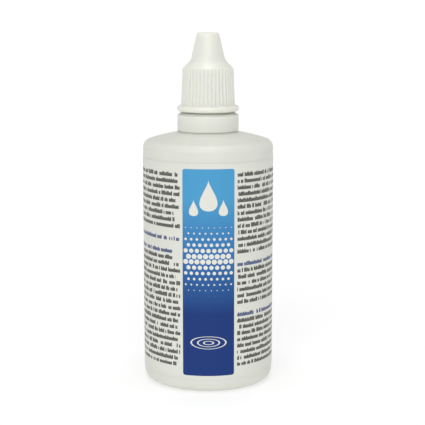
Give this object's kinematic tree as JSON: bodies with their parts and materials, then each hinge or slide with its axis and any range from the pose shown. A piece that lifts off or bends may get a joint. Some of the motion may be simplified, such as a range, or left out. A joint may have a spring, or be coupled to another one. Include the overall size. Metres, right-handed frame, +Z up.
{
  "type": "contact lens solution bottle",
  "caption": "Round squeeze bottle with a low domed shoulder, wrap label, press-in dropper nozzle, tamper-evident ring and a ribbed screw cap with a tapered top.",
  "frame": {"origin": "centre of the base, on the plane that the bottle stands on", "axes": "+Z up along the bottle's axis towards the cap; the printed front faces -Y"},
  "size_m": [0.0442, 0.0442, 0.1183],
  "materials": {
    "bottle_polyethylene": "satin, slightly translucent",
    "nozzle_polyethylene": "satin, translucent",
    "cap_polypropylene": "satin",
    "ring_polypropylene": "satin",
    "label_film": "satin print"
  },
  "bodies": {
    "bottle": {"bottle": "bottle_polyethylene", "dropper_nozzle": "nozzle_polyethylene", "wrap_label": "label_film"},
    "ring": {"tamper_ring": "ring_polypropylene"},
    "cap": {"screw_cap": "cap_polypropylene"}
  },
  "joints": [
    {"name": "cap_turn", "type": "hinge", "parent": "bottle", "child": "ring", "pos_m": [0, 0, 0.0885], "axis": [0, 0, 1], "range_deg": [0, 540]},
    {"name": "cap_rise", "type": "slide", "parent": "ring", "child": "cap", "axis": [0, 0, 1], "range_m": [0, 0.0045]}
  ],
  "couplings": [
    {"joint": "cap_rise", "follows": "cap_turn", "m_per_rad": 0.00047746}
  ]
}
